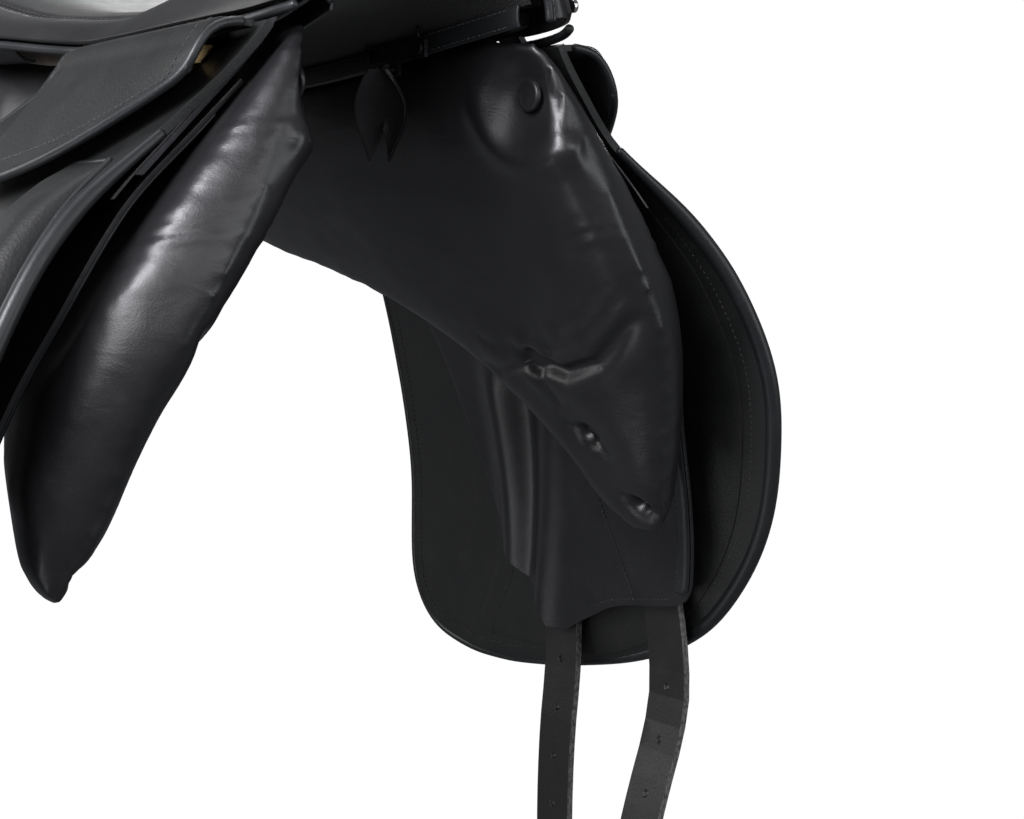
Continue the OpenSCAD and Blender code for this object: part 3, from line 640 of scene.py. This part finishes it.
def button_points(centre, axis_sign):
    """A flat-topped round button with a turned rim, its axis along X."""
    profile = [(0, 7.0), (0.6, 7.4), (1.6, 7.5), (2.4, 7.1), (2.9, 6.2), (2.7, 5.6), (2.5, 5.0), (2.7, 3.0),
               (2.8, 0.05)]
    turns = 40
    points = []
    for height, radius in profile:
        for k in range(turns):
            a = 2 * math.pi * k / turns
            y, z = centre[1] + radius * math.cos(a), centre[2] + radius * math.sin(a)
            points.append((centre[0] - axis_sign * height, y, z))
    faces = grid_faces(len(profile), turns, wrap=True)
    faces += [tuple(range(turns)), tuple(range(len(profile) * turns - 1, (len(profile) - 1) * turns - 1, -1))]
    return points, faces


def build_buttons():
    points, faces = [], []
    for _, sign in SIDES:
        own, rings = button_points((sign * (BUTTON[0] + BUTTON_SUNK), BUTTON[1], BUTTON[2]), sign)
        faces += [tuple(k + len(points) for k in ring) for ring in rings]
        points += own
    make("panel_buttons_covered", points, faces, MATERIALS["panel_leather"], "root",
         ("panel_buttons",))


# ---------------------------------------------------------------- flaps
def flap_grid():
    """The middle surface of the left flap, with the cut at its top for the stirrup leather."""
    shares = np.concatenate([np.linspace(0, 0.36, 34), np.linspace(0.36, 1, 46)[1:]])
    foot = FLAP_END - (FLAP_END - FLAT_END) * (1 - np.linspace(0, 1, 26)[1:]) ** 1.7
    drop = np.concatenate([np.linspace(TOP, NOTCH_DEEP, 12), np.linspace(NOTCH_DEEP, FLAT_END, 70)[1:], foot])
    rows = []
    for depth in drop:
        z = -min(depth, NOTCH_DEEP)
        front, rear = flap_front(z), flap_rear(z)
        start, end = (NOTCH_FRONT - front) / (rear - front), (NOTCH_REAR - front) / (rear - front)
        cut = smooth01((shares - start) / 0.012) * smooth01((end - shares) / 0.012)
        low = NOTCH_FOOT + (depth - TOP) * (NOTCH_DEEP - NOTCH_FOOT) / (NOTCH_DEEP - TOP)
        own = np.where(depth < NOTCH_DEEP, depth + (low - depth) * cut, depth)
        y = flap_front(-own) + shares * (flap_rear(-own) - flap_front(-own))
        rows.append(np.stack([flap_x(y, -own), y, -own], axis=1))
    return np.array(rows)


def lining_line(z):
    """Where the seam of the flap's lining runs."""
    return curve([(122, 60), (175, 46), (216, 32), (276, 47), (315, 72)], -z)


def build_flap(side, sign):
    grid = flap_grid()
    body = f"flap_{side}"
    leather_kind = MATERIALS["grain_leather"]
    sheet(f"flap_body_{side}", mirrored(grid, sign), FLAP_T - 0.6, leather_kind, body,
          (f"flap_{side}",), 1.6)
    # the roll along the front edge thins out into the binding of the lower and rear edge
    front, bottom, rear = grid[10:, 0], grid[-1], grid[::-1, -1]
    outline = softened(resampled(np.concatenate([front, bottom[1:], rear[1:]]), 5), 6)
    share = np.linspace(0, 1, len(outline))
    radius = 2.7 + 1.5 * (1 - smooth01((share - 0.28) / 0.14))
    radius *= 0.55 + 0.45 * smooth01(share / 0.06)
    tube(f"flap_roll_bound_{side}", outline * [sign, 1, 1], radius, MATERIALS["trim_leather"], body,
         (f"flap_roll_{side}",))
    # stitching inside the bound edge, on both faces
    inset = 9.0
    for face, name in ((-1, "inner"), (1, "outer")):
        lines = []
        middle = outline.mean(axis=0)
        for k, p in enumerate(outline[2:-2]):
            way = directions(outline[k:k + 5])[2]
            inward = np.array([0.0, -way[2], way[1]])
            if inward @ (middle - p) < 0:
                inward = -inward
            q = p + inset * inward / np.linalg.norm(inward)
            q[0] = flap_x(q[1], q[2]) + face * (FLAP_T / 2 - 0.25)
            lines.append(q)
        seam = softened(lines, 3) * [sign, 1, 1]
        stitches(f"flap_stitching_{name}_{side}", seam, (sign * face, 0, 0), body)
    # the lining: a thin layer on the inner face that ends at a stitched seam
    depth = np.linspace(45, 325, 60)
    rows = []
    for z in -depth:
        ys = np.linspace(flap_front(z) + 14, min(lining_line(z), flap_rear(z) - 14), 30)
        rows.append(np.stack([flap_x(ys, z) - FLAP_T / 2 - 0.15, ys, np.full(30, z)], axis=1))
    rows = np.array(rows)
    sheet(f"flap_lining_{side}", mirrored(rows, sign), 0.9, leather_kind, body, edge=0.35)
    seam = rows[18:, -4] - [0.5, 0, 0]
    stitches(f"flap_lining_stitching_{side}", seam * [sign, 1, 1], (-sign, 0, 0), body, pitch=3.6)


def build_block(side, sign):
    """The thigh block: a crowned pad with a welted seam round its foot."""
    depth = np.linspace(BLOCK[0][0], BLOCK[-1][0], 90)
    shares = np.linspace(0, 1, 40)
    rows = []
    for d in depth:
        height = 1 + BLOCK_RISE * curve(BLOCK, d) * np.maximum(0, 1 - (2 * shares - 1) ** 4) ** 0.6
        height += 0.35 * np.sin(d * 0.32) * bell(shares - 0.5, 0.3)
        y = flap_front(-d) + BLOCK_SET_BACK + BLOCK_WIDTH * shares
        rows.append(np.stack([flap_x(y, -d) + FLAP_T / 2 + 0.3 + height, y, np.full(40, -d)], axis=1))
    top = np.array(rows)
    base = top.copy()
    base[..., 0] = flap_x(base[..., 1], base[..., 2]) + FLAP_T / 2 + 0.1
    points, faces = closed(top, base)
    block = make(f"thigh_block_pad_{side}", points * [sign, 1, 1], faces, MATERIALS["grain_leather"],
                 f"flap_{side}", (f"thigh_block_{side}",))
    foot = base.reshape(-1, 3)[rim(*top.shape[:2])] + [1.2, 0, 0]
    loop = softened(resampled(np.concatenate([foot, foot[:1]]), 4), 4)
    tube(f"thigh_block_welt_{side}", loop * [sign, 1, 1], 1.5, MATERIALS["trim_leather"], f"flap_{side}",
         sides=10)


def build_keeper(side, sign):
    us = np.linspace(0, 1, 60)
    rows = []
    for w in np.linspace(1, 0, 14):
        y = KEEPER_Y + (us - 0.5) * KEEPER_LENGTH
        z = np.full(60, KEEPER_Z + (w - 0.5) * KEEPER_HEIGHT)
        rise = 9 * smooth01((0.5 - np.abs(us - 0.5)) / 0.16)
        rows.append(np.stack([flap_x(y, z) + FLAP_T / 2 + 0.2 + rise + 1.25, y, z], axis=1))
    rows = np.array(rows)
    sheet(f"keeper_strap_{side}", mirrored(rows, sign), 2.3, MATERIALS["trim_leather"], f"flap_{side}",
          (f"keeper_{side}",), 0.8)
    for k, row in (("top", rows[1]), ("low", rows[-2])):
        seam = (row + [1.2, 0, 0]) * [sign, 1, 1]
        stitches(f"keeper_stitching_{k}_{side}", seam, (sign, 0, 0), f"flap_{side}", pitch=3)


# ---------------------------------------------------------------- sweat flaps
def sweat_folds(y, z):
    """How far the soft rear part of a sweat flap stands in towards the horse, in long soft folds."""
    soft = smooth01((y + 90 + 0.1 * (z + 238)) / 22) * smooth01((-114 - z) / 60)
    first = 7.5 * bell(y - 2 + 0.16 * (z + 236), 13)
    second = 4.5 * bell(y + 33 + 0.32 * (z + 236), 12)
    hollow = -4.0 * bell(y + 15 + 0.22 * (z + 236), 10)
    return soft * (first + second + hollow + 1.5 * np.sin(0.035 * z + 0.05 * y))


def sweat_face(y, z):
    return side_x(z) + SWEAT_OFF - sweat_folds(y, z)


def build_sweat(side, sign):
    depth = np.concatenate([np.linspace(12, 258, 64), np.linspace(258, 306, 34)[1:]])
    shares = np.linspace(0, 1, 70)
    rows = []
    for d in depth:
        y = curve(SWEAT, d, 1) + shares * (curve(SWEAT, d, 2) - curve(SWEAT, d, 1))
        rows.append(np.stack([sweat_face(y, -d), y, np.full(70, -d)], axis=1))
    grid = np.array(rows)
    sheet(f"sweat_flap_body_{side}", mirrored(grid, sign), SWEAT_T - 0.2, MATERIALS["panel_leather"], "root",
          (f"sweat_flap_{side}",), 0.8)
    # the bound strip along the front edge
    ds = np.linspace(26, 266, 90)
    strip = []
    for share in np.linspace(0, 1, 9):
        y = curve(SWEAT, ds, 1) + 0.3 + 9 * share
        crown = 1.6 * (1 - (2 * share - 1) ** 4)
        strip.append(np.stack([side_x(-ds) + SWEAT_OFF - 1.6 - crown, y, -ds], axis=1))
    strip = np.array(strip).transpose(1, 0, 2)
    sheet(f"sweat_binding_strip_{side}", mirrored(strip, sign), 1.5, MATERIALS["trim_leather"], "root",
          (f"sweat_binding_{side}",), 0.6)
    edge = (strip[2:-2, 7] - [0.9, 0, 0]) * [sign, 1, 1]
    stitches(f"sweat_binding_stitching_{side}", edge, (-sign, 0, 0), "root")
    # the seam between the firm front part and the soft part, and the raw lower edge
    ds = np.linspace(222, 276, 30)
    seam_y = curve([(222, -84), (239, -88.5), (274, -102), (281, -104)], ds)
    seam = np.stack([sweat_face(seam_y, -ds) - 1.35, seam_y, -ds], axis=1)
    stitches(f"sweat_seam_stitching_{side}", seam * [sign, 1, 1], (-sign, 0, 0), "root")
    low = grid[66:, 0] + [-1.3, 4, 3]
    low = softened(resampled(low, 4), 3)
    stitches(f"sweat_edge_stitching_{side}", low * [sign, 1, 1], (-sign, 0, 0), "root", pitch=3.2)


# ---------------------------------------------------------------- skirts
def skirt_grid():
    ys = np.linspace(SKIRT[0][0], SKIRT[-1][0], 80)
    vs = np.linspace(0, 1, 50)
    low, k = curve(SKIRT, ys, 1), curve(SKIRT, ys, 2)
    grid = []
    for v in vs:
        u = max(v - 0.4, 0) / 0.6
        x = HINGE[0] + k * curve(SKIRT_BEND, min(v, 0.4), 1)
        z = HINGE[1] + curve(SKIRT_BEND, min(v, 0.4), 2)
        last = SKIRT_BEND[3]
        x = x + u * (side_x(low) + k * SKIRT_GAP - HINGE[0] - k * last[1])
        z = z + u * (low - HINGE[1] - last[2])
        x = x + 1.6 * math.sin(math.pi * v) ** 2
        grid.append(np.stack([x, ys, z], axis=1))
    return np.array(grid)


def build_skirt(side, sign):
    grid = skirt_grid()
    body = f"skirt_{side}"
    sheet(f"skirt_body_{side}", mirrored(grid, sign), SKIRT_T - 0.4, MATERIALS["grain_leather"], body,
          (f"skirt_{side}",), 1.2)
    edge = np.concatenate([grid[4:, 0], grid[-1, 1:], grid[::-1, -1][1:-4]])
    edge = softened(resampled(edge, 4), 5)
    tube(f"skirt_binding_{side}", edge * [sign, 1, 1], 2.1, MATERIALS["trim_leather"], body,
         sides=12)
    normal = grid_normals(grid)
    outward = normal if normal[20, 40, 0] > 0 else -normal
    inset = grid + outward * (SKIRT_T / 2 - 0.2)
    line = softened(np.concatenate([inset[10:44, 4], inset[44, 4:-4], inset[10:44, -5][::-1]]), 2)
    stitches(f"skirt_stitching_{side}", line * [sign, 1, 1], (sign, 0, 0.3), body)


# ---------------------------------------------------------------- seat
def build_seat():
    ys = np.concatenate([np.linspace(-226, 228, 130), np.linspace(228, 257, 16)[1:]])
    us = np.linspace(-1, 1, 81)
    width = curve(SEAT, ys, 1)
    grid = []
    for y, w in zip(ys, width):
        z = seat_z(y, us) - COVER_T / 2
        seam = bell(np.abs(us) * w - (0.56 * w + 4), 3.0)
        seam = seam * smooth01((y + 206) / 20) * smooth01((222 - y) / 26)
        crown = 1.6 * bell(np.abs(us) - 0.3, 0.2) + 1.2 * bell(np.abs(us) - 0.8, 0.14)
        z = z - 2.2 * seam + crown * smooth01((y + 215) / 30) * smooth01((235 - y) / 30)
        grid.append(np.stack([w * us, np.full(81, y), z], axis=1))
    grid = np.array(grid)
    seat = sheet("seat_cover_padded", grid, COVER_T - 0.2, MATERIALS["seat_leather"], "root",
                 ("seat_cover",), 0.9)
    for sign, name in ((1, "left"), (-1, "right")):
        for shift, row in ((-2.4, "in"), (2.4, "out")):
            at = np.linspace(-200, 214, 140)
            w = curve(SEAT, at, 1)
            u = (0.56 * w + 4 + shift) / w
            z = seat_z(at, u) - 0.35
            line = np.stack([sign * u * w, at, z], axis=1)
            stitches(f"seat_stitching_{name}_{row}", line, (0, 0, 1), "root", pitch=3.6)
    # piping round the seat
    at = np.concatenate([np.linspace(-220, 220, 110), np.linspace(220, 255.5, 16)[1:]])
    edge = np.stack([curve(SEAT, at, 1) + 0.5, at, seat_z(at, 1) - COVER_T - WELT_R - 0.6], axis=1)
    far = edge[::-1] * [-1, 1, 1]
    back = [[x, 258, seat_z(257, 0) - COVER_T - WELT_R - 0.6] for x in (20, 0, -20)]
    loop = softened(resampled(np.concatenate([edge, back, far]), 4), 3)
    tube("seat_welt_piping", loop, WELT_R, MATERIALS["trim_leather"], "root", ("seat_welt",))


def build_cantle():
    at = np.linspace(20, 252, 90)
    upper = np.stack([curve(SEAT, at, 1) - 3, at, seat_z(at, 1) - COVER_T - 2.4 * WELT_R], axis=1)
    lower = np.stack([curve(CANTLE, at, 1), at + 2, curve(CANTLE, at, 2)], axis=1)
    upper = np.concatenate([upper, upper[::-1] * [-1, 1, 1]])
    lower = np.concatenate([lower, lower[::-1] * [-1, 1, 1]])
    shares = np.linspace(0, 1, 24)[:, None, None]
    grid = upper[None] * (1 - shares) + lower[None] * shares
    outward = grid_normals(grid)
    if outward[12, 20, 0] < 0:
        outward = -outward
    grid = grid + outward * (1.8 * np.sin(np.pi * shares) - 1.4)
    sheet("cantle_facing_panelled", grid, 2.0, MATERIALS["panel_leather"], "root",
          ("cantle_facing",), 0.7)
    line = grid[3] + outward[3] * 1.0
    stitches("cantle_stitching", softened(line[2:-2], 3), (0, 1, 0.2), "root", pitch=3.6)


def build_pommel():
    """The facing under the front of the seat, with a bound edge round the arch."""
    angle = np.linspace(0, np.pi, 80)
    us = np.cos(angle)
    outer = np.stack([(curve(SEAT, -226.0, 1) - 1) * us, 0 * us, seat_z(-226.0, us) - COVER_T - 0.3], axis=1)
    inner = np.stack([56 * np.cos(angle), 0 * us, 20 + 42 * np.sin(angle)], axis=1)
    shares = np.linspace(0, 1, 18)[:, None, None]
    grid = outer[None] * (1 - shares) + inner[None] * shares
    grid[..., 1] = -224.7 - 1.0 * np.sin(np.pi * np.linspace(0, 1, 18))[:, None]
    sheet("pommel_facing_panelled", grid, 2.0, MATERIALS["panel_leather"], "root",
          ("pommel_facing",), 0.7)
    arch = grid[-1] + [0, 0.2, 0]
    tube("pommel_arch_binding", softened(arch, 2), 2.0, MATERIALS["trim_leather"], "root",
         sides=12)
    stitches("pommel_stitching", softened(grid[-4] - [0, 1.1, 0], 2), (0, -1, 0), "root")


def build_tab():
    """The leather tab on the clip: a leaf with two tails, turned a little towards the front."""
    outline = curve([(0, 4, 4), (0.1, 7.5, 7.5), (0.35, 12.5, 11.5), (0.6, 12, 12), (0.8, 8.5, 9), (1, 5, 6)],
                    np.linspace(0, 1, 40), 1)
    rows = []
    for share, half in zip(np.linspace(0, 1, 40), outline):
        u = np.linspace(-1, 1, 21)
        split = 9 * smooth01((share - 0.55) / 0.45)
        drop = 4 - share * (38 + 6 * np.abs(u) ** 2) + split * (1 - np.abs(u)) ** 1.5
        y = half * u * math.cos(TAB_TURN)
        x = -half * u * math.sin(TAB_TURN) + 2.2 * np.sin(2.6 * share) - 2.5 * u**2
        rows.append(np.stack([TAB_AXIS[0] + x - 2.2, TAB_AXIS[1] + y, drop], axis=1))
    sheet("gullet_tab_leaf", np.array(rows), 1.9, MATERIALS["panel_leather"], "gullet_tab",
          ("gullet_tab",), 0.6)


def build_channel():
    """The dark cloth ceiling of the channel and the leather strips along it."""
    ys = np.linspace(-216, 224, 90)
    x, z = curve(STRIP, ys, 1), curve(STRIP, ys, 2)
    shares = np.linspace(-1, 1, 31)
    rise = 5 + 9 * (1 - shares**2)
    rise = rise[None] + 22 * bell(ys + 216, 26)[:, None] * (1 - shares**2)[None]
    across = (x[:, None] + 2.5) * shares[None]
    grid = np.stack([across, np.repeat(ys[:, None], 31, 1), z[:, None] + rise], axis=2)
    sheet("channel_ceiling", grid, 0.8, LINING, "root", edge=0.3)
    for side, sign in SIDES:
        ys = np.linspace(-212, 222, 110)
        x, z = curve(STRIP, ys, 1), curve(STRIP, ys, 2)
        rows = []
        for share in np.linspace(-1, 1, 9):
            rows.append(np.stack([x - 1 - 0.9 * (1 - share**4), ys, z + 5 * share], axis=1))
        rows = np.array(rows)
        sheet(f"channel_strip_bound_{side}", mirrored(rows, sign), 1.7, MATERIALS["trim_leather"], "root",
              (f"channel_strip_{side}",), 0.5)
        for k, row in (("top", rows[7]), ("low", rows[1])):
            seam = (row[2:-2] - [0.85, 0, 0]) * [sign, 1, 1]
            stitches(f"channel_stitching_{k}_{side}", seam, (-sign, 0, 0), "root")


# ---------------------------------------------------------------- CAD nodes that stay
EDGE_ROUND = 0.35
SOFT_SLOTS = ("foam", "wool", "webbing")


def keep(name, slot):
    """A CAD node whose shape is right: it gets its material and, where it is hard, slightly rounded edges."""
    node = nodes[name]
    node.data.materials.clear()
    node.data.materials.append(MATERIALS[slot])
    if slot not in SOFT_SLOTS:
        weld = node.modifiers.new("weld", "WELD")
        weld.merge_threshold = 1e-6
        rounding = node.modifiers.new("rounding", "BEVEL")
        rounding.width = EDGE_ROUND * MM
        rounding.segments = 2
        rounding.limit_method = "ANGLE"
        rounding.angle_limit = math.radians(40)


def keep_hardware():
    """Every CAD node that no piece above replaces stays."""
    for entry in frame["record"]["subparts"]:
        if not nodes[entry["node"]].hide_render:
            keep(entry["node"], entry["material_slot"])


# ---------------------------------------------------------------- stage, lights and camera
def build_stage():
    bpy.ops.mesh.primitive_uv_sphere_add(segments=64, ring_count=32, radius=6.9, location=(0, 0, 0))
    dome = bpy.context.object
    dome.name = "backdrop"
    material, _, shader = new_material("backdrop_white")
    shader.inputs["Base Color"].default_value = (0, 0, 0, 1)
    shader.inputs["Emission Color"].default_value = (1, 1, 1, 1)
    shader.inputs["Emission Strength"].default_value = 1.0
    dome.data.materials.append(material)
    dome.visible_diffuse = dome.visible_glossy = dome.visible_transmission = dome.visible_shadow = False
    world = bpy.data.worlds.new("studio")
    bpy.context.scene.world = world
    world.use_nodes = True
    world.node_tree.nodes["Background"].inputs[0].default_value = (0.92, 0.94, 1.0, 1)
    world.node_tree.nodes["Background"].inputs[1].default_value = 0.13


def softbox(name, location, target, size, energy, colour=(1, 1, 1)):
    data = bpy.data.lights.new(name, "AREA")
    data.shape = "RECTANGLE"
    data.size, data.size_y = size
    data.energy = energy
    data.color = colour
    lamp = bpy.data.objects.new(name, data)
    bpy.context.scene.collection.objects.link(lamp)
    lamp.location = location
    lamp.rotation_mode = "QUATERNION"
    lamp.rotation_quaternion = (Vector(target) - Vector(location)).to_track_quat("-Z", "Y")


def build_lights():
    centre = (0.08, -0.1, -0.12)
    softbox("key_left_front", (-1.5, -0.75, 0.62), centre, (1.3, 0.9), 24, (0.97, 0.97, 1))
    softbox("high_left_front", (-1.35, -0.58, 0.95), centre, (0.6, 0.6), 26, (0.94, 0.94, 1))
    softbox("strip_front", (-0.1, -2.1, 0.75), centre, (1.6, 0.5), 8, (0.96, 0.97, 1))
    softbox("fill_front_right", (1.1, -1.7, 0.1), centre, (0.8, 1.3), 7, (0.95, 0.97, 1))
    softbox("low_left", (-1.3, 0.1, -0.9), centre, (0.9, 0.9), 4, (0.96, 0.97, 1))
    softbox("back_right", (1.3, 1.4, 0.9), centre, (1.2, 1.2), 24)
    softbox("back_left", (-1.2, 1.6, 0.5), centre, (1.2, 1.2), 10)
    softbox("top", (0.1, 0.1, 1.9), centre, (1.4, 1.4), 11)


def build_camera():
    """The camera is in front, near gullet height, and looks back 36 degrees towards +X and 5 degrees down."""
    yaw, pitch = math.radians(36), math.radians(-5)
    way = Vector((math.sin(yaw) * math.cos(pitch), math.cos(yaw) * math.cos(pitch), math.sin(pitch)))
    data = bpy.data.cameras.new("camera")
    data.sensor_width = 36
    data.lens = 65
    data.clip_start = 0.01
    data.dof.use_dof = False
    camera = bpy.data.objects.new("camera", data)
    bpy.context.scene.collection.objects.link(camera)
    camera.location = (-0.446, -0.887, -0.081)
    camera.rotation_mode = "QUATERNION"
    camera.rotation_quaternion = way.to_track_quat("-Z", "Y")
    bpy.context.scene.camera = camera


build_camera()
build_panels()
build_buttons()
on_both_sides(build_flap)
on_both_sides(build_block)
on_both_sides(build_keeper)
on_both_sides(build_sweat)
on_both_sides(build_skirt)
build_seat()
build_cantle()
build_pommel()
build_channel()
build_tab()
keep_hardware()
build_stage()
build_lights()
bpy.context.scene.view_settings.view_transform = "Standard"
